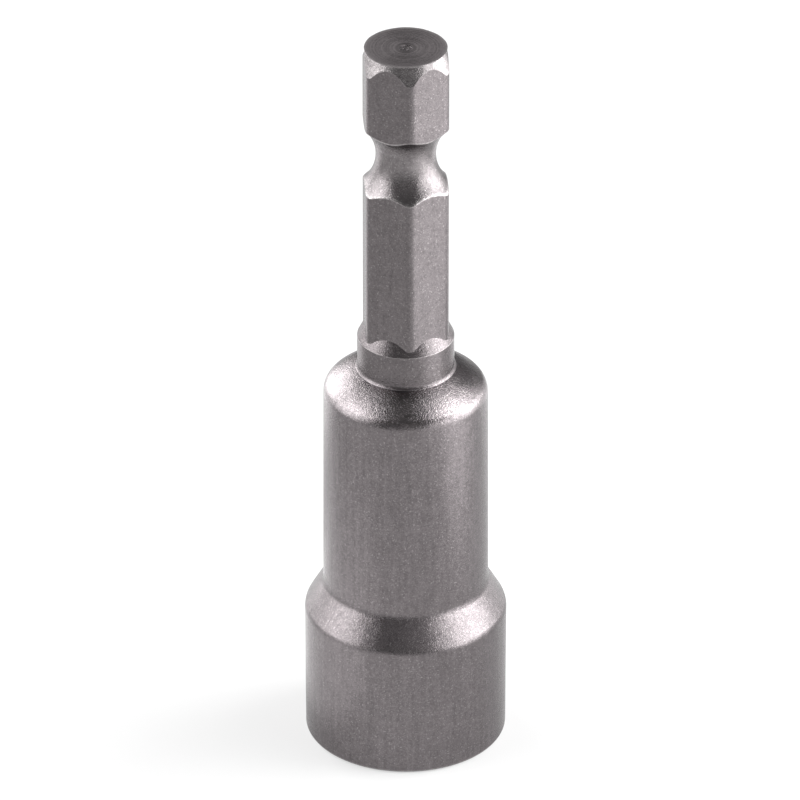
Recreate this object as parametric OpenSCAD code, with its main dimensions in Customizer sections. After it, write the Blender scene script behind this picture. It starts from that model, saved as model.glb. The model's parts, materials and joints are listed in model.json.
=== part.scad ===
// Magnetic nut setter: a hexagon drive shank pressed into a socket sleeve, with a
// spring-backed magnet behind the nut socket.
// Millimetres. The origin is the centre of the socket's mouth and +Z runs up the shank.

/* [Drive shank] */
// Hexagon of the shank, across the flats
hex_af = 6.35; // [6:0.05:6.8]
// How far each hexagon corner is rounded off, measured along the radius
hex_corner_trim = 0.14; // [0.02:0.01:0.3]
// Length of the shank above the collar
shank_len = 25.1; // [20:0.1:50]
// How much smaller the flat end face's radius is than half the hexagon's width
end_face_inset = 0.17; // [0.05:0.01:0.6]
// Slope of the cone between the end face and the hexagon, from the axis
end_cone_angle = 19; // [12:1:45]
// Distance of the detent groove's middle from the end face
groove_from_end = 9.15; // [7:0.05:12]
// Diameter left at the bottom of the detent groove
groove_neck_d = 4.6; // [4:0.05:5.4]
// Radius of the groove's round profile
groove_radius = 3.7; // [2:0.1:5]

/* [Collar and tail] */
// Diameter of the collar
collar_d = 7.45; // [7.4:0.05:9]
// Height of the collar
collar_len = 2.76; // [1.5:0.01:6]
// Height of the sloped run-outs of the six flats above the collar
runout_h = 1.1; // [0.5:0.05:3]
// Radius of the fillet round the collar's foot
collar_foot_r = 0.4; // [0.1:0.05:0.6]
// Diameter of the hole that the shank's tail is pressed into
press_bore_d = 6.8; // [6:0.05:7.2]
// Interference of the pressed tail, on the diameter
press_interference = 0.02; // [0.01:0.01:0.04]
// Length of the tail inside the sleeve
tail_len = 9.95; // [7:0.05:11]
// Chamfer at the tail's inner end
tail_chamfer = 0.3; // [0.1:0.05:0.6]

/* [Socket sleeve] */
// Diameter of the socket head at its shoulder
head_d = 15.62; // [14.5:0.02:18]
// Diameter of the socket head at its mouth
mouth_d = 15.5; // [14.5:0.02:18]
// Height of the socket head up to the start of its shoulder
head_len = 10.8; // [9:0.1:16]
// Slope of the shoulder between socket head and barrel, from the axis
head_cone_angle = 30; // [20:1:55]
// Rounding of the socket head's shoulder edge
head_edge_r = 1.6; // [0.4:0.1:2]
// Fillet where the shoulder meets the barrel
barrel_foot_r = 1.2; // [0.3:0.1:1.5]
// Diameter of the barrel at its foot
barrel_foot_d = 12.76; // [12:0.02:14]
// Diameter of the barrel at its top
barrel_top_d = 12.64; // [12:0.02:14]
// Length of the barrel between its two shoulders
barrel_len = 17.15; // [15:0.05:30]
// Slope of the barrel's upper shoulder, from the horizontal
shoulder_angle = 35; // [15:1:50]
// Rounding of the barrel's upper edge
shoulder_edge_r = 1.8; // [0.4:0.1:2]
// Rounding of the mouth's outer edge
mouth_edge_r = 0.25; // [0.1:0.05:0.6]

/* [Nut socket] */
// Nut size, across the flats
nut_af = 10; // [8:0.5:10.5]
// Total clearance of the socket's flats round the nut
nut_clearance = 0.1; // [0.05:0.01:0.3]
// Depth of the hexagon socket
nut_depth = 10; // [8:0.1:11]
// Width of the lead-in chamfer past the socket's corners
lead_in = 0.25; // [0.1:0.05:0.5]

/* [Magnet carrier] */
// Diameter of the bore behind the socket
carrier_bore_d = 8.4; // [8:0.1:9]
// Radial running clearance of the carrier's flange in that bore
running_clearance = 0.08; // [0.03:0.01:0.1]
// Diameter of the magnet
magnet_d = 5.5; // [4:0.1:5.8]
// Length of the magnet
magnet_len = 5; // [3:0.1:6]
// Radial glue gap round the magnet
glue_gap = 0.05; // [0.02:0.01:0.08]
// Depth of the magnet's face below the carrier's rim
magnet_recess = 0.12; // [0:0.02:0.4]
// Edge chamfer of the magnet
magnet_chamfer = 0.2; // [0.1:0.05:0.4]
// Wall of the carrier round the magnet
carrier_wall = 0.8; // [0.5:0.05:0.9]
// How far the carrier stands out of the bore into the nut socket
carrier_reach = 4.5; // [3:0.1:5.5]
// Thickness of the carrier's flange
flange_t = 1.2; // [0.8:0.1:2]
// Height of the boss that centres the spring
boss_h = 1; // [0.5:0.1:1.5]
// How far the carrier can be pushed back
magnet_travel = 4; // [2:0.1:4.5]

/* [Retaining ring and spring] */
// Thickness of the retaining ring
ring_t = 0.7; // [0.5:0.05:1]
// Radial width of the retaining ring that stands out of its groove
ring_lip = 0.45; // [0.3:0.05:0.5]
// Depth of the ring groove in the bore's wall
ring_groove_depth = 0.4; // [0.2:0.05:0.6]
// Play of the ring in its groove, along the axis and on the radius
ring_play = 0.1; // [0.04:0.01:0.15]
// Width of the gap in the retaining ring
ring_gap = 3.6; // [2:0.1:5]
// Wall between the nut socket's floor and the ring groove
ring_wall = 0.4; // [0.3:0.05:0.8]
// Wire diameter of the return spring
spring_wire_d = 0.6; // [0.4:0.05:0.7]
// Turns of the return spring
spring_turns = 5.5; // [4:0.5:6]
// Radial clearance of the spring in the bore
spring_clearance = 0.4; // [0.2:0.05:0.5]

/* [Hidden] */

$fn = 96;
hex_sides = 6;
// Angle that puts a hexagon's corners on the Y axis
hex_turn = 90;
// Straight steps in a rounded corner of an outline
corner_steps = 6;
// Length by which a cutting shape passes the face that it opens
past = 1;
// Gap between faces that bear on each other across the moving joint
bearing_gap = 0.02;
// Gap between the spring's wire and the faces that it presses on
spring_seat_gap = 0.05;
// Steps along one curl of the spring and sides of its wire
curl_steps = 8;
wire_sides = 6;
// Span, in turns, over which the spring's gap to its own next turn is measured
gap_from_turns = 0.75;
gap_to_turns = 1.25;

// Radii of the shank, its collar and its tail
hex_flat_r = hex_af / 2;
hex_corner_r = hex_flat_r / cos(180 / hex_sides) - hex_corner_trim;
end_face_r = hex_flat_r - end_face_inset;
collar_r = collar_d / 2;
// The foot fillet runs from the sleeve's upper shoulder to the collar's wall, tangent to both
seat_r = collar_r + collar_foot_r * (1 - sin(shoulder_angle));
foot_fillet_h = collar_foot_r * cos(shoulder_angle);
tail_r = (press_bore_d + press_interference) / 2;

// Heights of the sleeve, from the mouth upwards
head_cone_h = (head_d - barrel_foot_d) / 2 / tan(head_cone_angle);
barrel_foot_z = head_len + head_cone_h;
barrel_top_z = barrel_foot_z + barrel_len;
seat_z = barrel_top_z + (barrel_top_d / 2 - seat_r) * tan(shoulder_angle);

// Heights of the shank
collar_top_z = seat_z + collar_len;
shank_end_z = collar_top_z + shank_len;
end_cone_z = shank_end_z - (hex_corner_r - end_face_r) / tan(end_cone_angle);
groove_z = shank_end_z - groove_from_end;
tail_end_z = seat_z - tail_len;

// Nut socket and ring groove
socket_af = nut_af + nut_clearance;
socket_corner_r = socket_af / 2 / cos(180 / hex_sides);
lead_in_r = socket_corner_r + lead_in;
bore_r = carrier_bore_d / 2;
ring_z = nut_depth + ring_wall;
ring_groove_r = bore_r + ring_groove_depth;
ring_outer_r = ring_groove_r - ring_play / 2;
ring_inner_r = bore_r - ring_lip;

// Magnet carrier at rest, its flange lying on the retaining ring
flange_z = ring_z + ring_t + bearing_gap;
flange_top_z = flange_z + flange_t;
carrier_rim_z = nut_depth - carrier_reach;
magnet_z = carrier_rim_z + magnet_recess;
pocket_r = magnet_d / 2 + glue_gap;
carrier_r = pocket_r + carrier_wall;

// Return spring between the flange and the sleeve's inner step
spring_r = bore_r - spring_clearance - spring_wire_d / 2;
spring_low_z = flange_top_z + spring_seat_gap + spring_wire_d / 2;
spring_high_z = tail_end_z - spring_seat_gap - spring_wire_d / 2;
spring_pitch = (spring_high_z - spring_low_z) / spring_turns;
spring_pitch_pressed = spring_pitch - magnet_travel / spring_turns;
boss_r = spring_r - spring_wire_d;

// Centre line of the spring's wire, its climb angle and one ring of points round the wire
function coil_angle(i) = i * 360 / curl_steps;
function coil_point(i) = [
    spring_r * cos(coil_angle(i)),
    spring_r * sin(coil_angle(i)),
    spring_low_z + spring_pitch * i / curl_steps
];
climb = atan(spring_pitch / (2 * PI * spring_r));
function wire_ring(i) = [
    for (j = [0:wire_sides - 1])
        let (a = coil_angle(i), b = j * 360 / wire_sides, out = cos(b) * spring_wire_d / 2,
             up = sin(b) * spring_wire_d / 2)
        coil_point(i) + out * [cos(a), sin(a), 0]
            + up * [sin(climb) * sin(a), -sin(climb) * cos(a), cos(climb)]
];

// Least distance between the spring's turns, measured on points of its centre line
coil_last = round(spring_turns * curl_steps);
coil_gap = min([
    for (i = [0:coil_last - curl_steps])
        for (k = [ceil(curl_steps * gap_from_turns):min(ceil(curl_steps * gap_to_turns), coil_last - i)])
            norm(coil_point(i + k) - coil_point(i))
]) - spring_wire_d;
echo(spring_least_self_gap_mm = coil_gap);
echo(spring_least_gap_pushed_in_mm = spring_pitch_pressed * cos(climb) - spring_wire_d);

// Points of an arc round a centre, from one angle through a sweep
function arc(centre, r, start, sweep) = [
    for (i = [0:corner_steps])
        let (a = start + sweep * i / corner_steps)
        centre + r * [cos(a), sin(a)]
];

// Outline points that replace corner b, between a and c, by an arc of radius r
function rounded_corner(a, b, c, r) =
    let (u = (a - b) / norm(a - b), v = (c - b) / norm(c - b), half = acos(u * v) / 2,
         centre = b + (u + v) / norm(u + v) * r / sin(half),
         first = b + u * r / tan(half) - centre, last = b + v * r / tan(half) - centre,
         start = atan2(first.y, first.x), turn = atan2(last.y, last.x) - start,
         sweep = turn > 180 ? turn - 360 : turn < -180 ? turn + 360 : turn)
    arc(centre, r, start, sweep);

// Outline from corners given as [radius, height, rounding]
function outline(p) = [
    for (i = [0:len(p) - 1])
        let (b = [p[i][0], p[i][1]], a = p[(i + len(p) - 1) % len(p)], c = p[(i + 1) % len(p)])
        each p[i][2] > 0 ? rounded_corner([a[0], a[1]], b, [c[0], c[1]], p[i][2]) : [b]
];

// Hexagonal prism with its corners on the Y axis
module hex_prism(af, h) {
    rotate(hex_turn)
        linear_extrude(h)
            circle(r = af / 2 / cos(180 / hex_sides), $fn = hex_sides);
}

// Turned envelope of the shank above the collar: flat end and end cone
module shank_envelope() {
    rotate_extrude()
        polygon([
            [0, collar_top_z],
            [hex_corner_r, collar_top_z],
            [hex_corner_r, end_cone_z],
            [end_face_r, shank_end_z],
            [0, shank_end_z]
        ]);
}

// Ring that is turned away to leave the detent groove
module groove_cut() {
    rotate_extrude()
        translate([groove_neck_d / 2 + groove_radius, groove_z])
            circle(r = groove_radius);
}

// Collar with its foot fillet, the run-outs above it and the pressed tail below it
module collar_and_tail() {
    rotate_extrude()
        polygon([
            [0, tail_end_z],
            [tail_r - tail_chamfer, tail_end_z],
            [tail_r, tail_end_z + tail_chamfer],
            [tail_r, seat_z],
            each arc([collar_r + collar_foot_r, seat_z + foot_fillet_h], collar_foot_r,
                     270 - shoulder_angle, shoulder_angle - 90),
            [collar_r, collar_top_z],
            [hex_flat_r, collar_top_z + runout_h],
            [0, collar_top_z + runout_h]
        ]);
}

// Hexagon shank with its detent groove, collar and tail, in one piece
module drive_shank() {
    color([0.55, 0.53, 0.53]) {
        collar_and_tail();
        difference() {
            intersection() {
                translate([0, 0, collar_top_z])
                    hex_prism(hex_af, shank_len);
                shank_envelope();
            }
            groove_cut();
        }
    }
}

// Outside of the sleeve: mouth, socket head, shoulder, barrel and upper shoulder
module sleeve_body() {
    rotate_extrude()
        polygon(outline([
            [0, 0, 0],
            [mouth_d / 2, 0, mouth_edge_r],
            [head_d / 2, head_len, head_edge_r],
            [barrel_foot_d / 2, barrel_foot_z, barrel_foot_r],
            [barrel_top_d / 2, barrel_top_z, shoulder_edge_r],
            [seat_r, seat_z, 0],
            [0, seat_z, 0]
        ]));
}

// Hexagon for the nut, with a conical lead-in at the mouth
module nut_socket_cut() {
    translate([0, 0, -past])
        hex_prism(socket_af, nut_depth + past);
    translate([0, 0, -past])
        cylinder(r1 = lead_in_r + past, r2 = 0, h = lead_in_r + past);
}

// Round bores behind the socket: carrier bore, ring groove and press bore
module bore_cut() {
    rotate_extrude()
        polygon([
            [0, nut_depth - past],
            [bore_r, nut_depth - past],
            [bore_r, ring_z],
            [ring_groove_r, ring_z],
            [ring_groove_r, ring_z + ring_t + ring_play],
            [bore_r, ring_z + ring_t + ring_play],
            [bore_r, tail_end_z],
            [press_bore_d / 2, tail_end_z],
            [press_bore_d / 2, seat_z + past],
            [0, seat_z + past]
        ]);
}

// Socket sleeve: one hollow piece from the mouth to the collar's seat
module socket_sleeve() {
    color([0.52, 0.5, 0.51])
        difference() {
            sleeve_body();
            nut_socket_cut();
            bore_cut();
        }
}

// Open ring snapped into the bore, which keeps the carrier in
module retaining_ring() {
    color([0.35, 0.35, 0.37])
        translate([0, 0, ring_z])
            difference() {
                cylinder(r = ring_outer_r, h = ring_t);
                translate([0, 0, -past])
                    cylinder(r = ring_inner_r, h = ring_t + 2 * past);
                translate([0, -ring_gap / 2, -past])
                    cube([ring_outer_r + past, ring_gap, ring_t + 2 * past]);
            }
}

// Flanged cup that carries the magnet and slides in the bore
module magnet_holder() {
    color([0.72, 0.58, 0.3])
        rotate_extrude()
            polygon([
                [pocket_r, carrier_rim_z],
                [carrier_r, carrier_rim_z],
                [carrier_r, flange_z],
                [bore_r - running_clearance, flange_z],
                [bore_r - running_clearance, flange_top_z],
                [boss_r, flange_top_z],
                [boss_r, flange_top_z + boss_h],
                [0, flange_top_z + boss_h],
                [0, magnet_z + magnet_len],
                [pocket_r, magnet_z + magnet_len]
            ]);
}

// Plated cylinder magnet, its face just below the cup's rim
module magnet() {
    color([0.75, 0.75, 0.77])
        rotate_extrude()
            polygon([
                [0, magnet_z],
                [magnet_d / 2 - magnet_chamfer, magnet_z],
                [magnet_d / 2, magnet_z + magnet_chamfer],
                [magnet_d / 2, magnet_z + magnet_len - magnet_chamfer],
                [magnet_d / 2 - magnet_chamfer, magnet_z + magnet_len],
                [0, magnet_z + magnet_len]
            ]);
}

// Compression spring as one unbroken wire, a helix of even pitch
module return_spring() {
    last_ring = coil_last * wire_sides;
    color([0.6, 0.6, 0.62])
        polyhedron(
            points = [for (i = [0:coil_last]) each wire_ring(i)],
            faces = [
                for (j = [1:wire_sides - 2]) [0, j, j + 1],
                for (i = [0:coil_last - 1])
                    for (j = [0:wire_sides - 1])
                        let (k = (j + 1) % wire_sides, a = i * wire_sides, b = a + wire_sides)
                        each [[a + j, b + j, b + k], [a + j, b + k, a + k]],
                for (j = [1:wire_sides - 2]) [last_ring, last_ring + j + 1, last_ring + j]
            ]
        );
}

drive_shank();
socket_sleeve();
retaining_ring();
magnet_holder();
magnet();
return_spring();
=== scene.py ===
"""Looks of a magnetic nut setter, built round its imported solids. Metres, in the frame of the solids."""

import json
import math

import bpy
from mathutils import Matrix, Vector

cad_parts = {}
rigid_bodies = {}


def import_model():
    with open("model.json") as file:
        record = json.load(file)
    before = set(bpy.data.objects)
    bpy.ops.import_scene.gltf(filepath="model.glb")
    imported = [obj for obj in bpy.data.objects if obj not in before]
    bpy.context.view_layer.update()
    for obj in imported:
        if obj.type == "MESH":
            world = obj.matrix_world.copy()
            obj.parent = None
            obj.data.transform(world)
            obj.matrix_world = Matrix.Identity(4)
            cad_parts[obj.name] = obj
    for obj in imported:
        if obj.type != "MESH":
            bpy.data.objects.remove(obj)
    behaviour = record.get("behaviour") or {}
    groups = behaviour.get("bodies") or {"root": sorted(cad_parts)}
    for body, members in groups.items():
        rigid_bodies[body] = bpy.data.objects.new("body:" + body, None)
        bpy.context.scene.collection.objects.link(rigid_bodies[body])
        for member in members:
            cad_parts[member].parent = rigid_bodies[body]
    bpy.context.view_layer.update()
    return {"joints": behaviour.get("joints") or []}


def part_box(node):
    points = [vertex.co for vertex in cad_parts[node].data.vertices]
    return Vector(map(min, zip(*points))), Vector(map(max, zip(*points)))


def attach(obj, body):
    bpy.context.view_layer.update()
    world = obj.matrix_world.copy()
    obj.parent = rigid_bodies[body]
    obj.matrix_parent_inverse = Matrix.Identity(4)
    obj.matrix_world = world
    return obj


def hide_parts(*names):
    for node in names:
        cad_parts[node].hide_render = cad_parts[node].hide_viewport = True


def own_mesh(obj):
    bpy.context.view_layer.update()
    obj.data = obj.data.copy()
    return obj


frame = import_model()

bl_info = {
    "name": "Magnetic Nut Setter",
    "version": (1, 0, 0),
    "blender": (4, 5, 0),
    "location": "View3D > Sidebar > Nut Setter",
    "description": "Satin steel nut setter with a sprung magnet, on a plain pale floor",
    "category": "Object",
}

MM = 0.001
JOINT = frame["joints"][0]
TOOL_BODY = JOINT["parent"]
CARRIER_BODY = JOINT["child"]

SHANK_LOW, SHANK_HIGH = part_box("drive_shank")
SLEEVE_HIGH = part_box("socket_sleeve")[1]
RING_LOW, RING_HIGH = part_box("retaining_ring")
HOLDER_LOW, HOLDER_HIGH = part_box("magnet_holder")
MAGNET_LOW, MAGNET_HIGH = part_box("magnet")
SPRING_LOW, SPRING_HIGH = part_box("return_spring")
# The collar's foot, where it meets the sleeve: its height, its radius and the seam left round it
SEAT_Z = SLEEVE_HIGH.z
SEAT_RADIUS = SHANK_HIGH.x
SEAT_SEAM = 0.002 * MM

# Hexagons: corners point along Y, as on the solids
HEX_SIDES = 6
HEX_CORNER_ANGLE = math.pi / 2
SECTOR = 2 * math.pi / HEX_SIDES

# Columns of a turned mesh, and steps along its arcs
ROUND_COLUMNS = 180
RING_COLUMNS = 160
GROOVE_STEPS = 22
FILLET_STEPS = 7
COIL_STEPS = 40
WIRE_SIDES = 12
# Points just beside a rounded edge keep the faces next to it flat in shade
HOLD = 0.03 * MM
HOLD_ANGLE = math.radians(0.25)
GROOVE_HOLD = 0.12 * MM

# How round the small edges are
HAIR_ROUND = 0.01 * MM
LIP_ROUND = 0.012 * MM
NIB_ROUND = 0.03 * MM
FINE_ROUND = 0.06 * MM
SOFT_ROUND = 0.07 * MM
STEP_ROUND = 0.10 * MM
BROAD_ROUND = 0.12 * MM
# How bright an edge is rubbed, from 0 to 1
FAINT_WEAR = 0.3
SLIGHT_WEAR = 0.4
EVEN_WEAR = 0.5
CLEAR_WEAR = 0.7
BRIGHT_WEAR = 0.8

# The thin lip that facing leaves round the end: how thick it is, how far it leans in, and the middle of the
# flat over which it is broken off
LIP_DEPTH = 0.045 * MM
LIP_LEAN = 0.02 * MM
CHIPPED_FLAT = math.radians(-60)


# Sizes and colours that a user may change

def length(name, description, millimetres):
    """A length that a user may change, kept in metres."""
    return bpy.props.FloatProperty(
        name=name, description=description, default=millimetres * MM, unit="LENGTH", precision=5)


def angle(name, description, degrees):
    """An angle that a user may change."""
    return bpy.props.FloatProperty(
        name=name, description=description, default=math.radians(degrees), subtype="ANGLE")


def colour(name, description, red, green, blue):
    """A colour that a user may change, in linear light."""
    return bpy.props.FloatVectorProperty(
        name=name, description=description, default=(red, green, blue),
        subtype="COLOR", size=3, min=0, max=1)


class NutSetterShank(bpy.types.PropertyGroup):
    hex_width: length("Hexagon width", "Across the flats of the drive hexagon", 6.35)
    corner_round: length("Corner rounding", "Rounding along the hexagon's corners", 0.9)
    face_width: length("End face", "Diameter of the flat end face", 6.01)
    face_lip: length("Facing lip", "How far the turned face stands out over the end cone", 0.18)
    lip_chip: length("Lip chip", "How much of that lip is gone over one flat", 0.15)
    end_slope: angle("End slope", "Slope of the end cone from the axis", 19)
    groove_depth_z: length("Groove position", "Groove's middle below the end face", 9.15)
    groove_neck: length("Groove neck", "Diameter at the bottom of the groove", 4.6)
    groove_radius: length("Groove radius", "Radius of the groove's profile", 3.7)
    collar_width: length("Collar", "Diameter of the collar", 7.45)
    collar_height: length("Collar height", "Height of the collar", 2.76)
    runout: length("Run-out", "Height of the sloped ends of the flats", 1.1)
    foot_round: length("Foot fillet", "Fillet round the collar's foot", 0.4)
    tail_width: length("Tail", "Diameter of the pressed tail", 6.8)
    tail_chamfer: length("Tail chamfer", "Chamfer at the tail's end", 0.3)
    turning_pitch: length("Turning pitch", "Pitch of the turned rings on the end face", 0.21)
    turning_depth: length("Turning depth", "Height of the turned rings on the end face", 0.018)
    pip_radius: length("Pip ring", "Radius of the small ring that facing leaves round the axis", 0.32)
    pip_depth: length("Pip depth", "Depth of that ring", 0.06)
    turned_wear: bpy.props.FloatProperty(
        name="Turned wear", description="How much brighter the end cone and groove are than the flats",
        default=0.4)


class NutSetterSleeve(bpy.types.PropertyGroup):
    head_width: length("Head", "Diameter of the socket head at its shoulder", 15.618)
    mouth_width: length("Mouth", "Diameter of the socket head at its mouth", 15.5)
    head_height: length("Head height", "Height of the head up to its shoulder", 10.8)
    head_slope: angle("Head slope", "Slope of the head's shoulder from the axis", 30)
    head_round: length("Head rounding", "Rounding of the head's shoulder edge", 1.1)
    waist_round: length("Waist fillet", "Fillet between shoulder and barrel", 1.2)
    barrel_foot: length("Barrel foot", "Diameter of the barrel at its foot", 12.76)
    barrel_top: length("Barrel top", "Diameter of the barrel at its top", 12.64)
    barrel_height: length("Barrel height", "Height of the barrel", 17.15)
    shoulder_round: length("Shoulder rounding", "Rounding of the barrel's upper edge", 1.1)
    mouth_round: length("Mouth rounding", "Rounding of the mouth's outer edge", 0.25)
    nut_width: length("Nut socket", "Across the flats of the nut socket", 10.1)
    nut_depth: length("Nut depth", "Depth of the nut socket", 10)
    nut_corner_round: length("Socket corner", "Rounding in the nut socket's corners", 0.15)
    lead_in: length("Lead-in", "Width of the lead-in past the socket's corners", 0.25)
    bore: length("Bore", "Diameter of the bore behind the socket", 8.4)
    ring_groove: length("Ring groove", "Diameter of the retaining ring's groove", 9.2)
    ring_play: length("Ring play", "Play of the ring in its groove", 0.1)
    press_bore: length("Press bore", "Diameter of the hole for the tail", 6.8)


class NutSetterMagnetUnit(bpy.types.PropertyGroup):
    ring_inner: length("Ring hole", "Inner diameter of the retaining ring", 7.5)
    ring_gap: length("Ring gap", "Width of the gap in the retaining ring", 3.6)
    holder_width: length("Holder", "Outer diameter of the holder's cup", 7.2)
    pocket_width: length("Pocket", "Diameter of the magnet's pocket", 5.6)
    flange_height: length("Flange", "Thickness of the holder's flange", 1.2)
    boss_width: length("Boss", "Diameter of the boss that centres the spring", 5.8)
    boss_height: length("Boss height", "Height of that boss", 1)
    magnet_chamfer: length("Magnet chamfer", "Chamfer round the magnet's ends", 0.2)
    wire: length("Wire", "Diameter of the spring's wire", 0.6)
    spring_turns: bpy.props.FloatProperty(
        name="Turns", description="Turns of the return spring", default=5.5)


class NutSetterColours(bpy.types.PropertyGroup):
    shank: colour("Shank", "Satin steel of the drive shank", 0.137, 0.1245, 0.128)
    sleeve: colour("Sleeve", "Satin steel of the socket sleeve", 0.162, 0.147, 0.1515)
    edge: colour("Worn edge", "Steel where an edge is rubbed bright", 0.42, 0.40, 0.40)
    ring: colour("Ring", "Dark spring steel of the retaining ring", 0.13, 0.13, 0.135)
    brass: colour("Brass", "Turned brass of the magnet's holder", 0.62, 0.44, 0.19)
    nickel: colour("Nickel", "Plating of the magnet", 0.60, 0.58, 0.55)
    wire: colour("Wire", "Drawn wire of the spring", 0.40, 0.395, 0.39)
    floor: colour("Floor", "Pale floor, under its own glow", 0.26, 0.26, 0.26)


class NutSetterStudio(bpy.types.PropertyGroup):
    view_azimuth: angle("View azimuth", "Turn of the camera round the tool", -5.1)
    view_height: angle("View height", "Height of the camera above the floor's plane", 30.94)
    view_distance: length("View distance", "From the camera to the aim", 955)
    aim_height: length("Aim height", "Height of the aim on the tool's axis", 30)
    aim_right: length("Aim sideways", "How far the aim is moved sideways", -0.44)
    aim_up: length("Aim upwards", "How far the aim is moved up the picture", -0.859)
    lens: bpy.props.FloatProperty(
        name="Lens", description="Focal length in millimetres, on a sensor 36 mm wide", default=560.5)
    floor_radius: length("Floor radius", "Radius of the floor", 2500)
    floor_glow: bpy.props.FloatProperty(
        name="Floor glow", description="What the floor shows to the camera and to bright metal by itself, "
        "so that it is white with the lamps' light added", default=0.49)
    room_grey: bpy.props.FloatProperty(
        name="Room", description="Brightness of the plain room round the floor", default=0.22)


# Outlines and turned meshes

def corner_radius(half_width, rounding, offset):
    """Distance from the axis to a hexagon's side, at an angle off its nearest corner, corners rounded."""
    if abs(offset) < corner_span(half_width, rounding):
        middle = corner_centre(half_width, rounding)
        return middle * math.cos(offset) + math.sqrt(rounding ** 2 - (middle * math.sin(offset)) ** 2)
    return half_width / math.cos(SECTOR / 2 - abs(offset))


def corner_centre(half_width, rounding):
    """Distance from the axis to the centre of a rounded corner's arc."""
    return half_width / math.cos(SECTOR / 2) - rounding / math.sin(math.pi / 3)


def corner_span(half_width, rounding):
    """Half the angle that a rounded corner of a hexagon takes up, seen from the axis."""
    across = rounding * math.sin(SECTOR / 2)
    return math.atan2(across, corner_centre(half_width, rounding) + rounding * math.cos(SECTOR / 2))


def hex_columns(half_width, rounding, round_steps, flat_steps):
    """Angles of the columns of a piece with a hexagon, close together at its corners."""
    span = corner_span(half_width, rounding)
    near = [span * step / round_steps for step in range(-round_steps, round_steps + 1)]
    start, end = span + HOLD_ANGLE, SECTOR - span - HOLD_ANGLE
    flat = [start + (end - start) * step / flat_steps for step in range(flat_steps + 1)]
    return [(HEX_CORNER_ANGLE + corner * SECTOR + offset, offset)
            for corner in range(HEX_SIDES) for offset in near + flat]


def plain_columns():
    """Angles of the evenly spaced columns of a round piece."""
    return [(2 * math.pi * step / ROUND_COLUMNS, 0.0) for step in range(ROUND_COLUMNS)]


def nearest_corner(offset):
    """An offset folded to lie between half a sector either side of its nearest corner."""
    return offset - SECTOR if offset > SECTOR / 2 else offset


class Corner:
    """One corner of an outline: radius, height, rounding, how worn its edge is, steps of its rounding."""

    def __init__(self, radius, height, rounding=0.0, wear=0.0, steps=5):
        self.place = Vector((radius, height))
        self.rounding = rounding
        self.wear = wear
        self.steps = steps


def trace(corners, closed=False):
    """Points (radius, height, wear) of an outline whose corners are rounded as they ask."""
    points = []
    last = len(corners) - 1
    for index, corner in enumerate(corners):
        if corner.rounding <= 0 or (not closed and index in (0, last)):
            points.append((*corner.place, corner.wear))
        else:
            points += rounded(corners[index - 1], corner, corners[(index + 1) % len(corners)])
    return points


def rounded(last, corner, following):
    """Points of one rounded corner, with a point just before it and just after it."""
    before = (last.place - corner.place).normalized()
    after = (following.place - corner.place).normalized()
    half = math.acos(max(-1.0, min(1.0, before.dot(after)))) / 2
    reach = corner.rounding / math.tan(half)
    bisector = (before + after).normalized()
    centre = corner.place + bisector * (corner.rounding / math.sin(half))
    first = corner.place + before * reach - centre
    final = corner.place + after * reach - centre
    start = math.atan2(first.y, first.x)
    sweep = math.atan2(final.y, final.x) - start
    sweep = (sweep + math.pi) % (2 * math.pi) - math.pi
    beside = min(HOLD, 0.4 * corner.rounding)
    points = [(*(corner.place + before * (reach + beside)), 0.0)]
    for step in range(corner.steps + 1):
        turn = start + sweep * step / corner.steps
        fade = math.sin(math.pi * (step + 0.5) / (corner.steps + 1))
        points.append((centre.x + corner.rounding * math.cos(turn),
                       centre.y + corner.rounding * math.sin(turn), corner.wear * fade))
    points.append((*(corner.place + after * (reach + beside)), 0.0))
    return points


def lathe(name, columns, outline, closed=False, around=True):
    """A turned piece. outline(turn, offset) gives the points of the column at that angle, offset from a
    hexagon's corner. An open outline starts and ends on the axis. around is False for a piece with a gap,
    whose ends are capped."""
    vertices, wear, faces = [], [], []
    grid = []
    poles = {}
    for turn, offset in columns:
        line = []
        for row, (radius, height, worn) in enumerate(outline(turn, offset)):
            on_axis = not closed and radius < 1e-9
            if on_axis and row in poles:
                line.append(poles[row])
                continue
            line.append(len(vertices))
            vertices.append((radius * math.cos(turn), radius * math.sin(turn), height))
            wear.append(worn)
            if on_axis:
                poles[row] = line[-1]
        grid.append(line)
    rows = len(grid[0])
    pairs = list(zip(grid, grid[1:] + grid[:1])) if around else list(zip(grid, grid[1:]))
    for here, there in pairs:
        for row in range(rows if closed else rows - 1):
            after = (row + 1) % rows
            loop = [here[row], here[after], there[after], there[row]]
            faces.append([vertex for place, vertex in enumerate(loop) if vertex != loop[place - 1]])
    if not around:
        faces.append(grid[0][::-1])
        faces.append(grid[-1])
    return make_piece(name, vertices, faces, wear)


def make_piece(name, vertices, faces, wear):
    """A smooth shaded mesh object with its wear kept as an attribute of its points."""
    mesh = bpy.data.meshes.new(name)
    mesh.from_pydata(vertices, [], faces)
    mesh.polygons.foreach_set("use_smooth", [True] * len(faces))
    mesh.attributes.new("wear", "FLOAT", "POINT").data.foreach_set("value", wear)
    mesh.validate()
    mesh.update()
    piece = bpy.data.objects.new(name, mesh)
    bpy.context.scene.collection.objects.link(piece)
    return piece


def hand_over(piece, material, body, node):
    """Gives a finished piece its material and its body, and hides the solid that it stands for."""
    piece.data.materials.append(material)
    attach(piece, body)
    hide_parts(node)


# Shader maths and materials

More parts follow.
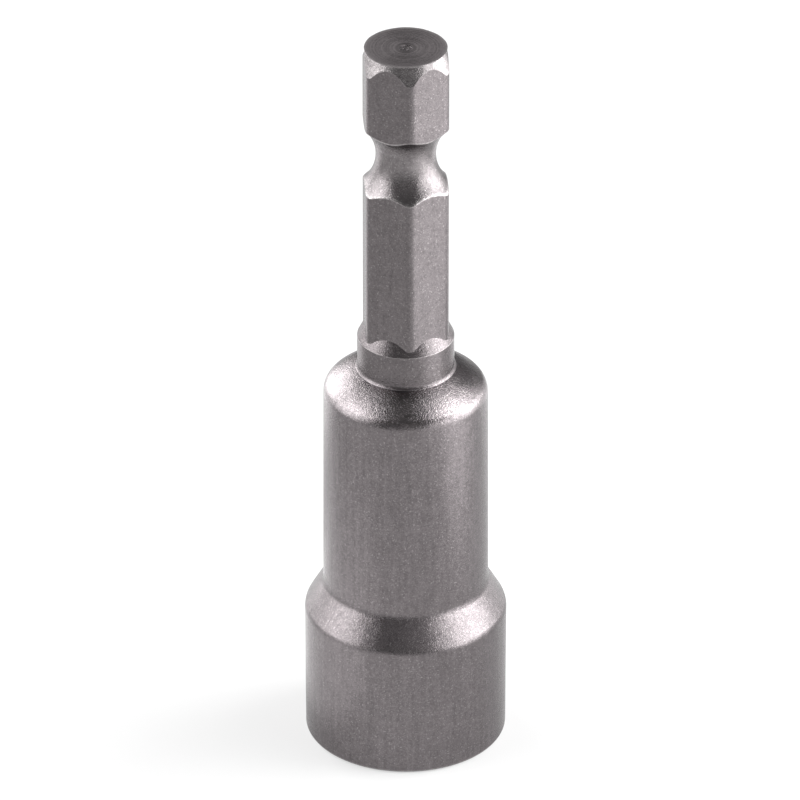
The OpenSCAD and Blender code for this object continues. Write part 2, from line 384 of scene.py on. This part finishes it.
class Field:
    """A number that varies over a surface: one socket of a shader, on which arithmetic adds Math nodes."""

    def __init__(self, shader, socket):
        self.shader = shader
        self.socket = socket

    def maths(self, operation, first, second):
        return self.shader.node("ShaderNodeMath", {"operation": operation}, {0: first, 1: second})

    def __add__(self, other):
        return self.maths("ADD", self, other)

    __radd__ = __add__

    def __sub__(self, other):
        return self.maths("SUBTRACT", self, other)

    def __rsub__(self, other):
        return self.maths("SUBTRACT", other, self)

    def __mul__(self, other):
        return self.maths("MULTIPLY", self, other)

    __rmul__ = __mul__

    def swing(self, amount):
        """How far the number is from a half, which is a noise's middle, times an amount."""
        return (self - 0.5) * amount

    def clamped(self):
        return self.shader.node("ShaderNodeClamp", {}, {"Value": self})


class Shader:
    """A material's or the world's node tree, built from values."""

    def __init__(self, owner):
        owner.use_nodes = True
        self.tree = owner.node_tree
        self.tree.nodes.clear()

    def node(self, kind, settings, inputs, output=0):
        """Adds a node: its settings first, then the values or links of its sockets."""
        added = self.tree.nodes.new(kind)
        for key, value in settings.items():
            setattr(added, key, value)
        for key, value in inputs.items():
            if isinstance(value, Field):
                self.tree.links.new(value.socket, added.inputs[key])
            else:
                added.inputs[key].default_value = value
        return Field(self, added.outputs[output]) if len(added.outputs) else added

    def place(self):
        """Where a point is on its piece, in millimetres."""
        metres = self.node("ShaderNodeTexCoord", {}, {}, "Object")
        return self.node("ShaderNodeVectorMath", {"operation": "SCALE"}, {0: metres, "Scale": 1 / MM})

    def stretched(self, place, along_x, along_y, along_z):
        """A place with each of its directions multiplied, which draws a noise out where it is under 1."""
        return self.node("ShaderNodeVectorMath", {"operation": "MULTIPLY"},
                         {0: place, 1: (along_x, along_y, along_z)})

    def wear(self):
        """How bright the point is rubbed, from the piece's own points."""
        return self.node("ShaderNodeAttribute", {"attribute_name": "wear"}, {}, "Fac")

    def noise(self, place, scale, detail, roughness):
        """Soft noise, whose scale is in spots a millimetre."""
        return self.node("ShaderNodeTexNoise", {"noise_dimensions": "3D"},
                         {"Vector": place, "Scale": scale, "Detail": detail, "Roughness": roughness})

    def step(self, value, low, high, to_low=0.0, to_high=1.0):
        """Eases from one level to another as a value goes from low to high."""
        return self.node("ShaderNodeMapRange", {"interpolation_type": "SMOOTHSTEP"},
                         {"Value": value, "From Min": low, "From Max": high,
                          "To Min": to_low, "To Max": to_high})

    def mix(self, amount, first, second):
        """Mixes two colours. Sockets 6 and 7 are the node's colours, and output 2 is theirs."""
        return self.node("ShaderNodeMix", {"data_type": "RGBA"}, {0: amount, 6: first, 7: second}, 2)

    def bump(self, height, distance):
        return self.node("ShaderNodeBump", {}, {"Height": height, "Distance": distance, "Strength": 1.0})

    def finish(self, shader_output, kind="ShaderNodeOutputMaterial"):
        self.node(kind, {}, {"Surface": shader_output})


def rgba(values, scale=1.0):
    """A colour with its alpha, made lighter or darker by a scale."""
    return (*(min(1.0, value * scale) for value in values), 1.0)


def new_material(name):
    material = bpy.data.materials.new(name)
    return material, Shader(material)


# Satin steel: its darkest and lightest tone as shares of its colour, its roughness where it is turned,
# what blasting adds to that, and how deep its grain is
STEEL_DARKEST, STEEL_LIGHTEST = 0.76, 1.24
TURNED_ROUGHNESS = 0.16
BLASTED_ROUGHNESS = 0.07
GRAIN_DEPTH = 0.026 * MM
# The metals inside: their darkest and lightest tone as shares of their colour
METAL_DARKEST, METAL_LIGHTEST = 0.78, 1.18


def satin_steel(name, base, edge, lengthwise, grazing, turned_from=None):
    """Bead-blasted satin steel: fine grain, bright specks, soft mottling, faint lengthwise marks and rubbed
    edges. Seen along its surface it keeps a share, grazing, of a clean metal's shine. From the height
    turned_from upwards, in millimetres, it is a bare turned face, smoother and ringed instead."""
    material, shader = new_material(name)
    place = shader.place()
    grain = shader.noise(place, scale=10.0, detail=2.0, roughness=0.6)
    clumps = shader.noise(place, scale=4.0, detail=2.0, roughness=0.6)
    mottle = shader.noise(place, scale=0.9, detail=3.0, roughness=0.55)
    drawn_out = shader.stretched(place, 1.0, 1.0, 0.045)
    streak = shader.noise(drawn_out, scale=3.2, detail=3.0, roughness=0.6)
    specks = shader.step(shader.noise(place, scale=8.0, detail=1.0, roughness=0.5), 0.64, 0.72)
    broken = shader.noise(place, scale=3.0, detail=2.0, roughness=0.6)
    rubbed = (shader.wear() * shader.step(broken, 0.3, 0.62, 0.45, 1.0)).clamped()
    blasted, rings = 1.0, 0.0
    if turned_from is not None:
        blasted, rings = turned_end(shader, place, turned_from)
    tone = (0.5 + grain.swing(1.6) + clumps.swing(1.4) + mottle.swing(0.7)
            + streak.swing(lengthwise) + rings * 6.0).clamped()
    steel = shader.mix(tone, rgba(base, STEEL_DARKEST), rgba(base, STEEL_LIGHTEST))
    steel = shader.mix((rubbed + specks * 0.3 * blasted).clamped(), steel, rgba(edge))
    blasted_rough = BLASTED_ROUGHNESS + mottle.swing(0.08) + clumps.swing(0.10) - rubbed * 0.03
    rough = TURNED_ROUGHNESS + blasted_rough * blasted + rings * 0.5
    height = (grain + clumps * 0.25) * blasted + streak * (0.3 * lengthwise)
    bsdf = shader.node("ShaderNodeBsdfPrincipled", {}, {
        "Base Color": steel, "Metallic": 1.0, "Specular Tint": (grazing, grazing, grazing, 1.0),
        "Roughness": rough, "Normal": shader.bump(height, GRAIN_DEPTH)})
    shader.finish(bsdf)
    return material


def turned_end(shader, place, turned_from):
    """How blasted a point is, all or none from a height upwards, and the turned rings where it isn't."""
    along = shader.node("ShaderNodeSeparateXYZ", {}, {0: place}, "Z")
    blasted = 1 - shader.step(along, turned_from, turned_from + 0.01)
    across = shader.stretched(place, 1.0, 1.0, 0.0)
    radius = shader.node("ShaderNodeVectorMath", {"operation": "LENGTH"}, {0: across}, "Value")
    return blasted, shader.noise(radius, scale=2.4, detail=2.0, roughness=0.7).swing(1 - blasted)


def turned_metal(name, base, roughness, depth):
    """Turned or drawn metal with fine rings across its axis."""
    material, shader = new_material(name)
    place = shader.place()
    mottle = shader.noise(place, scale=1.3, detail=3.0, roughness=0.55)
    squeezed = shader.stretched(place, 0.25, 0.25, 9.0)
    rings = shader.noise(squeezed, scale=1.6, detail=3.0, roughness=0.6)
    grain = shader.noise(place, scale=9.0, detail=2.0, roughness=0.5)
    wear = shader.wear()
    tone = (0.5 + mottle.swing(1.0) + rings.swing(0.8) + wear * 0.4).clamped()
    metal = shader.mix(tone, rgba(base, METAL_DARKEST), rgba(base, METAL_LIGHTEST))
    rough = roughness + mottle.swing(0.14) + rings.swing(0.08) - wear * 0.06
    bsdf = shader.node("ShaderNodeBsdfPrincipled", {}, {
        "Base Color": metal, "Metallic": 1.0, "Roughness": rough,
        "Normal": shader.bump(rings + grain * 0.4, depth)})
    shader.finish(bsdf)
    return material


# Outlines of the pieces

def shank_outline(size, turn, offset):
    """Outline of the drive shank's column at an offset from a hexagon corner, from the end face down."""
    side = corner_radius(size.hex_width / 2, size.corner_round, nearest_corner(offset))
    groove_z = SHANK_HIGH.z - size.groove_depth_z
    groove_centre = size.groove_neck / 2 + size.groove_radius
    groove_half = math.sqrt(size.groove_radius ** 2 - (groove_centre - side) ** 2)
    tail = size.tail_width / 2
    points = end_face_points(size)
    points += end_cone_points(size, turn, side, groove_z + groove_half)
    points += groove_points(size, side, groove_centre, groove_z, groove_half)
    points += collar_points(size, side, groove_z - groove_half)
    points += [
        (tail, SEAT_Z, 0.0),
        (tail, SHANK_LOW.z + size.tail_chamfer, 0.0),
        (tail - size.tail_chamfer, SHANK_LOW.z, 0.0),
        (0.0, SHANK_LOW.z, 0.0),
    ]
    return points


def end_face_points(size):
    """Turned rings of the end face, cut as shallow waves, from the axis outwards."""
    top = SHANK_HIGH.z
    points = [(0.0, top - size.turning_depth, 0.0)]
    quarter = size.turning_pitch / 4
    plain_rim, pip_spread = 0.15 * MM, 0.09 * MM
    count = int((size.face_width / 2 - plain_rim) / quarter)
    for step in range(1, count + 1):
        radius = quarter * step
        wave = 0.5 - 0.5 * math.cos(2 * math.pi * radius / size.turning_pitch)
        pip = size.pip_depth * math.exp(-((radius - size.pip_radius) / pip_spread) ** 2)
        points.append((radius, top - size.turning_depth * (1 - wave) - pip, 0.0))
    return points


def lip_width(size, turn):
    """How far the thin lip that facing leaves stands out: a little uneven, and broken off over one flat."""
    chip_sharpness = 16
    broken = math.cos((turn - CHIPPED_FLAT) / 2) ** chip_sharpness
    # Heights of the two waves in millimetres
    slow_wave, quick_wave = 0.010, 0.006
    uneven = slow_wave * math.sin(5 * turn + 1.0) + quick_wave * math.sin(13 * turn)
    return size.face_lip - size.lip_chip * broken + uneven * MM


def end_cone_points(size, turn, side, groove_top):
    """The lip round the end face, the end cone, and the side as far as the groove's upper edge."""
    face, top = size.face_width / 2, SHANK_HIGH.z
    cone_z = top - (side - face) / math.tan(size.end_slope)
    lip = face + lip_width(size, turn)
    corners = [
        Corner(face - 0.1 * MM, top),
        Corner(lip, top, LIP_ROUND, FAINT_WEAR, 3),
        Corner(lip - LIP_LEAN, top - LIP_DEPTH, HAIR_ROUND, FAINT_WEAR, 3),
        Corner(face + LIP_DEPTH * math.tan(size.end_slope), top - LIP_DEPTH * 1.6, HAIR_ROUND, 0.0, 3),
        Corner(side, cone_z, BROAD_ROUND, FAINT_WEAR, 4),
        Corner(side, groove_top + GROOVE_HOLD),
    ]
    # The cone is bright from turning, down to a hair below its edge
    cone_end = cone_z - 0.02 * MM
    return [(radius, height, max(worn, size.turned_wear if height > cone_end else 0.0))
            for radius, height, worn in trace(corners)[1:-1]]


def groove_points(size, side, centre, middle, half):
    """The detent groove's arc with softly broken edges, from its upper edge to its lower one."""
    radius = size.groove_radius
    # The groove has a share of the end cone's brightness
    groove_share = 0.4
    turned = groove_share * size.turned_wear
    held, broken = 0.07 * MM, 0.03 * MM
    # The arc stops just short of the edges, which leaves room for their breaks
    shortened = 1 - 0.008
    reach = math.atan2(half, centre - side)
    points = [(side, middle + half + held, 0.0), (side, middle + half + broken, CLEAR_WEAR)]
    for step in range(GROOVE_STEPS + 1):
        turn = reach * (1 - 2 * step / GROOVE_STEPS) * shortened
        points.append((centre - radius * math.cos(turn), middle + radius * math.sin(turn),
                       CLEAR_WEAR if step in (0, GROOVE_STEPS) else turned))
    points += [(side, middle - half - broken, CLEAR_WEAR), (side, middle - half - held, 0.0)]
    return points


def collar_points(size, side, groove_foot):
    """The side below the groove, the flat's run-out, the collar and the fillet round the collar's foot."""
    half, collar = size.hex_width / 2, size.collar_width / 2
    collar_z = SEAT_Z + size.collar_height
    runout_z = collar_z + size.runout * (collar - side) / (collar - half)
    fillet_r = collar + size.foot_round
    fillet_z = SEAT_Z + math.sqrt(size.foot_round ** 2 - (fillet_r - SEAT_RADIUS) ** 2)
    corners = [
        Corner(side, groove_foot - GROOVE_HOLD),
        Corner(side, runout_z, STEP_ROUND, 0.0, 4),
        Corner(collar, collar_z, SOFT_ROUND, BRIGHT_WEAR, 4),
        Corner(collar, fillet_z + HOLD),
    ]
    points = trace(corners)[1:]
    slope_end = math.acos((fillet_r - SEAT_RADIUS) / size.foot_round)
    for step in range(FILLET_STEPS + 1):
        turn = math.pi + slope_end * step / FILLET_STEPS
        points.append((fillet_r + size.foot_round * math.cos(turn),
                       fillet_z + size.foot_round * math.sin(turn), 0.0))
    return points


def sleeve_outline(size, offset):
    """Outline of the sleeve's column, down its outside, in at the mouth and up its bores."""
    half = size.nut_width / 2
    side = corner_radius(half, size.nut_corner_round, nearest_corner(offset))
    lead = half / math.cos(SECTOR / 2) + size.lead_in
    head, foot = size.head_width / 2, size.barrel_foot / 2
    waist_z = size.head_height + (head - foot) / math.tan(size.head_slope)
    barrel_z = waist_z + size.barrel_height
    bore, groove = size.bore / 2, size.ring_groove / 2
    press = size.press_bore / 2
    groove_top = RING_HIGH.z + size.ring_play
    corners = [
        Corner(press, SEAT_Z),
        Corner(SEAT_RADIUS + SEAT_SEAM, SEAT_Z),
        Corner(size.barrel_top / 2, barrel_z, size.shoulder_round, 0.0, 16),
        Corner(foot, waist_z, size.waist_round, 0.0, 10),
        Corner(head, size.head_height, size.head_round, 0.0, 14),
        Corner(size.mouth_width / 2, 0.0, size.mouth_round, CLEAR_WEAR, 6),
        Corner(lead, 0.0, FINE_ROUND, CLEAR_WEAR, 3),
        Corner(side, lead - side, FINE_ROUND, SLIGHT_WEAR, 3),
        Corner(side, size.nut_depth, STEP_ROUND, 0.0, 3),
        Corner(bore, size.nut_depth, FINE_ROUND, SLIGHT_WEAR, 3),
        Corner(bore, RING_LOW.z),
        Corner(groove, RING_LOW.z),
        Corner(groove, groove_top),
        Corner(bore, groove_top),
        Corner(bore, SHANK_LOW.z),
        Corner(press, SHANK_LOW.z),
    ]
    return trace(corners, closed=True)


def ring_outline(size):
    """Cross-section of the retaining ring."""
    inner, outer = size.ring_inner / 2, RING_HIGH.y
    places = ((inner, RING_HIGH.z), (outer, RING_HIGH.z), (outer, RING_LOW.z), (inner, RING_LOW.z))
    corners = [Corner(radius, height, FINE_ROUND, EVEN_WEAR, 3) for radius, height in places]
    return trace(corners, closed=True)


def holder_outline(size):
    """Outline of the holder: its boss, its flange, its cup and the magnet's pocket."""
    cup, pocket = size.holder_width / 2, size.pocket_width / 2
    flange, boss = HOLDER_HIGH.x, size.boss_width / 2
    boss_z = HOLDER_HIGH.z
    flange_top = boss_z - size.boss_height
    flange_low = flange_top - size.flange_height
    corners = [
        Corner(0.0, boss_z),
        Corner(boss, boss_z, SOFT_ROUND, SLIGHT_WEAR, 4),
        Corner(boss, flange_top, SOFT_ROUND, 0.0, 3),
        Corner(flange, flange_top, SOFT_ROUND, SLIGHT_WEAR, 4),
        Corner(flange, flange_low, SOFT_ROUND, SLIGHT_WEAR, 4),
        Corner(cup, flange_low, SOFT_ROUND, 0.0, 3),
        Corner(cup, HOLDER_LOW.z, BROAD_ROUND, BRIGHT_WEAR, 5),
        Corner(pocket, HOLDER_LOW.z, SOFT_ROUND, BRIGHT_WEAR, 4),
        Corner(pocket, MAGNET_HIGH.z, SOFT_ROUND, 0.0, 3),
        Corner(0.0, MAGNET_HIGH.z),
    ]
    return trace(corners)


def magnet_outline(size):
    """Outline of the magnet with its chamfered ends."""
    radius, cut = MAGNET_HIGH.x, size.magnet_chamfer
    corners = [
        Corner(0.0, MAGNET_HIGH.z),
        Corner(radius - cut, MAGNET_HIGH.z, NIB_ROUND, FAINT_WEAR, 3),
        Corner(radius, MAGNET_HIGH.z - cut, NIB_ROUND, FAINT_WEAR, 3),
        Corner(radius, MAGNET_LOW.z + cut, NIB_ROUND, EVEN_WEAR, 3),
        Corner(radius - cut, MAGNET_LOW.z, NIB_ROUND, BRIGHT_WEAR, 3),
        Corner(0.0, MAGNET_LOW.z),
    ]
    return trace(corners)


def coil_height(size, turns):
    """Height of the middle of the spring's wire after so many turns: closed end turns, a rise between."""
    low, high = SPRING_LOW.z + size.wire / 2, SPRING_HIGH.z - size.wire / 2
    closed_turn, closed_pitch = 0.85, 1.04 * size.wire
    closed_rise = closed_pitch * closed_turn
    open_turns = size.spring_turns - 2 * closed_turn
    share = min(1.0, max(0.0, (turns - closed_turn) / open_turns))
    # The open turns lie a little closer at their ends than in their middle
    closeness = 0.035
    eased = share - closeness * math.sin(2 * math.pi * share)
    ends = (min(turns, closed_turn) + max(0.0, turns - closed_turn - open_turns)) / closed_turn
    return low + closed_rise * ends + (high - low - 2 * closed_rise) * eased


def coil_mesh(size):
    """Vertices and faces of the spring's wire, wound upwards and capped at both ends."""
    wire = size.wire / 2
    coil = SPRING_HIGH.x - wire
    steps = int(size.spring_turns * COIL_STEPS)
    vertices, faces = [], []
    for step in range(steps + 1):
        turns = size.spring_turns * step / steps
        height = coil_height(size, turns)
        turn = 2 * math.pi * turns
        for side in range(WIRE_SIDES):
            lean = 2 * math.pi * side / WIRE_SIDES
            radius = coil + wire * math.cos(lean)
            vertices.append((radius * math.cos(turn), radius * math.sin(turn),
                             height + wire * math.sin(lean)))
    for step in range(steps):
        near, far = step * WIRE_SIDES, (step + 1) * WIRE_SIDES
        for side in range(WIRE_SIDES):
            after = (side + 1) % WIRE_SIDES
            faces.append([near + side, far + side, far + after, near + after])
    faces.append(list(range(WIRE_SIDES)))
    faces.append(list(range(steps * WIRE_SIDES, (steps + 1) * WIRE_SIDES))[::-1])
    return vertices, faces


# Pieces

class NUTSETTER_OT_drive_shank(bpy.types.Operator):
    """Builds the hexagon drive shank with its groove, run-outs, collar and tail"""
    bl_idname = "nut_setter.drive_shank"
    bl_label = "Drive Shank"

    def execute(self, context):
        size = context.scene.nut_setter_shank
        colours = context.scene.nut_setter_colours
        columns = hex_columns(size.hex_width / 2, size.corner_round, round_steps=5, flat_steps=24)
        piece = lathe("shank", columns, lambda turn, offset: shank_outline(size, turn, offset))
        # The metal is bare from the end face down to this depth, in millimetres
        bare_depth = 0.03
        steel = satin_steel("shank_satin_steel", colours.shank, colours.edge, lengthwise=0.5, grazing=0.6,
                            turned_from=SHANK_HIGH.z / MM - bare_depth)
        hand_over(piece, steel, TOOL_BODY, "drive_shank")
        return {"FINISHED"}


class NUTSETTER_OT_socket_sleeve(bpy.types.Operator):
    """Builds the socket sleeve with its shoulders, nut socket and bores"""
    bl_idname = "nut_setter.socket_sleeve"
    bl_label = "Socket Sleeve"

    def execute(self, context):
        size = context.scene.nut_setter_sleeve
        colours = context.scene.nut_setter_colours
        columns = hex_columns(size.nut_width / 2, size.nut_corner_round, round_steps=3, flat_steps=36)
        piece = lathe("sleeve", columns, lambda turn, offset: sleeve_outline(size, offset), closed=True)
        steel = satin_steel("sleeve_satin_steel", colours.sleeve, colours.edge, lengthwise=0.9, grazing=0.82)
        hand_over(piece, steel, TOOL_BODY, "socket_sleeve")
        return {"FINISHED"}


class NUTSETTER_OT_retaining_ring(bpy.types.Operator):
    """Builds the open ring that keeps the magnet unit in"""
    bl_idname = "nut_setter.retaining_ring"
    bl_label = "Retaining Ring"

    def execute(self, context):
        size = context.scene.nut_setter_unit
        colours = context.scene.nut_setter_colours
        half_gap = math.asin(size.ring_gap / (RING_HIGH.y + size.ring_inner / 2))
        columns = [(half_gap + 2 * (math.pi - half_gap) * step / RING_COLUMNS, 0.0)
                   for step in range(RING_COLUMNS + 1)]
        piece = lathe("ring", columns, lambda turn, offset: ring_outline(size), closed=True, around=False)
        steel = turned_metal("ring_oiled_steel", colours.ring, roughness=0.38, depth=0.006 * MM)
        hand_over(piece, steel, TOOL_BODY, "retaining_ring")
        return {"FINISHED"}


class NUTSETTER_OT_magnet_unit(bpy.types.Operator):
    """Builds the brass holder and the plated magnet that slide in the bore"""
    bl_idname = "nut_setter.magnet_unit"
    bl_label = "Magnet Unit"

    def execute(self, context):
        size = context.scene.nut_setter_unit
        colours = context.scene.nut_setter_colours
        piece = lathe("holder", plain_columns(), lambda turn, offset: holder_outline(size))
        brass = turned_metal("holder_turned_brass", colours.brass, roughness=0.30, depth=0.008 * MM)
        hand_over(piece, brass, CARRIER_BODY, "magnet_holder")

        piece = lathe("magnet_slug", plain_columns(), lambda turn, offset: magnet_outline(size))
        nickel = turned_metal("magnet_nickel_plate", colours.nickel, roughness=0.26, depth=0.003 * MM)
        hand_over(piece, nickel, CARRIER_BODY, "magnet")
        return {"FINISHED"}


class NUTSETTER_OT_return_spring(bpy.types.Operator):
    """Winds the return spring, with its end turns closed"""
    bl_idname = "nut_setter.return_spring"
    bl_label = "Return Spring"

    def execute(self, context):
        size = context.scene.nut_setter_unit
        colours = context.scene.nut_setter_colours
        vertices, faces = coil_mesh(size)
        piece = make_piece("spring", vertices, faces, [0.0] * len(vertices))
        steel = turned_metal("spring_drawn_wire", colours.wire, roughness=0.30, depth=0.002 * MM)
        hand_over(piece, steel, TOOL_BODY, "return_spring")
        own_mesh(piece)
        return {"FINISHED"}


# Studio

FLOOR_CORNERS = 96
SENSOR_WIDTH = 36
# Soft boxes, and white cards close beside the tool: name, degrees to the right of the camera, degrees up,
# distance in metres from a point on the axis, that point's height, width, height, brightness
SOFT_BOXES = (
    ("left_box", -91, 27, 0.60, 0.03, 0.60, 0.60, 4.2),
    ("left_high_box", -99, 52, 0.60, 0.03, 0.32, 0.24, 5.6),
    ("back_left_box", -142, 18, 0.60, 0.03, 0.30, 0.38, 8.0),
    ("front_left_strip", -56, 16, 0.60, 0.03, 0.16, 0.34, 1.4),
    ("right_box", 98, 30, 0.60, 0.03, 0.48, 0.50, 3.6),
    ("right_high_box", 99, 51, 0.60, 0.03, 0.38, 0.28, 8.0),
    ("front_right_strip", 58, 14, 0.60, 0.03, 0.20, 0.36, 4.4),
    ("back_right_box", 150, 58, 0.60, 0.03, 0.28, 0.28, 1.3),
    ("back_box", 184, 31, 0.60, 0.03, 0.30, 0.26, 0.8),
    ("front_box", 0, 22, 0.60, 0.03, 0.30, 0.16, 0.4),
    ("right_card", 95, 4, 0.080, 0.034, 0.060, 0.062, 3.1),
    ("upper_right_card", 108, 0, 0.080, 0.056, 0.070, 0.044, 2.6),
    ("inner_right_card", 70, 0, 0.036, 0.030, 0.022, 0.050, 1.8),
    ("front_right_card", 40, 0, 0.036, 0.029, 0.014, 0.030, 0.9),
    ("front_card", 18, 0, 0.036, 0.029, 0.012, 0.030, 0.3),
    ("back_left_card", -135, 0, 0.045, 0.026, 0.030, 0.046, 1.9),
    ("back_right_card", 130, 0, 0.060, 0.030, 0.030, 0.056, 1.0),
    ("left_floor_card", -95, -84, 0.20, 0.200, 0.044, 0.022, 0.6),
    ("right_floor_card", 145, -72, 0.204, 0.200, 0.044, 0.026, 1.2),
)


def facing(azimuth, height):
    """Unit vector from the tool towards a camera or lamp at that azimuth and height."""
    return Vector((math.sin(azimuth) * math.cos(height), -math.cos(azimuth) * math.cos(height),
                   math.sin(height)))


class NUTSETTER_OT_studio(bpy.types.Operator):
    """Sets up the pale floor, the plain room, the soft boxes and the camera"""
    bl_idname = "nut_setter.studio"
    bl_label = "Studio"

    def execute(self, context):
        scene = context.scene
        self.floor(scene)
        self.room(scene)
        for values in SOFT_BOXES:
            self.soft_box(scene, *values)
        self.camera(scene)
        scene.view_settings.view_transform = "Standard"
        return {"FINISHED"}

    def floor(self, scene):
        """A pale round floor that keeps a soft shadow and is clear from below."""
        studio = scene.nut_setter_studio
        turns = [2 * math.pi * step / FLOOR_CORNERS for step in range(FLOOR_CORNERS)]
        rim = [(studio.floor_radius * math.cos(turn), studio.floor_radius * math.sin(turn), 0.0)
               for turn in turns]
        mesh = bpy.data.meshes.new("floor")
        mesh.from_pydata(rim, [], [list(range(FLOOR_CORNERS))])
        floor = bpy.data.objects.new("floor", mesh)
        scene.collection.objects.link(floor)
        material, shader = new_material("pale_floor")
        matt = shader.node("ShaderNodeBsdfDiffuse", {}, {"Color": rgba(scene.nut_setter_colours.floor)})
        rays = [shader.node("ShaderNodeLightPath", {}, {}, name)
                for name in ("Is Camera Ray", "Is Glossy Ray", "Is Transmission Ray")]
        seen = (rays[0] + rays[1] + rays[2]).clamped()
        glow = shader.node("ShaderNodeEmission", {}, {"Color": (1, 1, 1, 1), "Strength": studio.floor_glow})
        bright = shader.node("ShaderNodeAddShader", {}, {0: matt, 1: glow})
        lit = shader.node("ShaderNodeMixShader", {}, {0: seen, 1: matt, 2: bright})
        clear = shader.node("ShaderNodeBsdfTransparent", {}, {})
        below = shader.node("ShaderNodeNewGeometry", {}, {}, "Backfacing")
        shader.finish(shader.node("ShaderNodeMixShader", {}, {0: below, 1: lit, 2: clear}))
        floor.data.materials.append(material)

    def room(self, scene):
        """Plain grey surroundings."""
        scene.world = bpy.data.worlds.new("room")
        shader = Shader(scene.world)
        grey = shader.node("ShaderNodeBackground", {},
                           {"Color": (1, 1, 1, 1), "Strength": scene.nut_setter_studio.room_grey})
        shader.finish(grey, "ShaderNodeOutputWorld")

    def soft_box(self, scene, name, turn, height, distance, middle, width, tall, brightness):
        """One soft box or card, which faces the tool and is hidden from the camera."""
        view = scene.nut_setter_studio.view_azimuth
        towards = facing(view + math.radians(turn), math.radians(height))
        lamp = bpy.data.lights.new(name, "AREA")
        lamp.shape, lamp.size, lamp.size_y = "RECTANGLE", width, tall
        # The power follows the lamp's area, so that its brightness doesn't change with its size
        lamp.energy = brightness * math.pi * width * tall
        box = bpy.data.objects.new(name, lamp)
        box.location = Vector((0, 0, middle)) + towards * distance
        box.rotation_euler = towards.to_track_quat("Z", "Y").to_euler()
        box.visible_camera = False
        scene.collection.objects.link(box)

    def camera(self, scene):
        """The camera at the photograph's angle."""
        studio = scene.nut_setter_studio
        aim = Vector((0, 0, studio.aim_height))
        azimuth = studio.view_azimuth
        towards = facing(azimuth, studio.view_height)
        right = Vector((math.cos(azimuth), math.sin(azimuth), 0))
        up = towards.cross(right)
        data = bpy.data.cameras.new("camera")
        data.sensor_width = SENSOR_WIDTH
        data.lens = studio.lens
        data.clip_start, data.clip_end = 0.01, 10
        camera = bpy.data.objects.new("camera", data)
        camera.location = (aim + towards * studio.view_distance + right * studio.aim_right
                           + up * studio.aim_up)
        camera.rotation_euler = towards.to_track_quat("Z", "Y").to_euler()
        scene.collection.objects.link(camera)
        scene.camera = camera


# Panel and run

OPERATORS = (NUTSETTER_OT_drive_shank, NUTSETTER_OT_socket_sleeve, NUTSETTER_OT_retaining_ring,
             NUTSETTER_OT_magnet_unit, NUTSETTER_OT_return_spring, NUTSETTER_OT_studio)
GROUPS = {
    "nut_setter_shank": NutSetterShank,
    "nut_setter_sleeve": NutSetterSleeve,
    "nut_setter_unit": NutSetterMagnetUnit,
    "nut_setter_colours": NutSetterColours,
    "nut_setter_studio": NutSetterStudio,
}


class NUTSETTER_PT_panel(bpy.types.Panel):
    """Lists the pieces and their sizes"""
    bl_idname = "NUTSETTER_PT_panel"
    bl_label = "Nut Setter"
    bl_space_type = "VIEW_3D"
    bl_region_type = "UI"
    bl_category = "Nut Setter"

    def draw(self, context):
        column = self.layout.column()
        for operator in OPERATORS:
            column.operator(operator.bl_idname)
        for name, group in GROUPS.items():
            box = self.layout.box()
            for key in group.__annotations__:
                box.prop(getattr(context.scene, name), key)


def register():
    for item in (*GROUPS.values(), *OPERATORS, NUTSETTER_PT_panel):
        bpy.utils.register_class(item)
    for name, group in GROUPS.items():
        setattr(bpy.types.Scene, name, bpy.props.PointerProperty(type=group))


def unregister():
    for name in GROUPS:
        delattr(bpy.types.Scene, name)
    for item in (NUTSETTER_PT_panel, *reversed(OPERATORS), *reversed(tuple(GROUPS.values()))):
        bpy.utils.unregister_class(item)


def main():
    register()
    bpy.ops.nut_setter.drive_shank()
    bpy.ops.nut_setter.socket_sleeve()
    bpy.ops.nut_setter.retaining_ring()
    bpy.ops.nut_setter.magnet_unit()
    bpy.ops.nut_setter.return_spring()
    bpy.ops.nut_setter.studio()


if __name__ == "__main__":
    main()
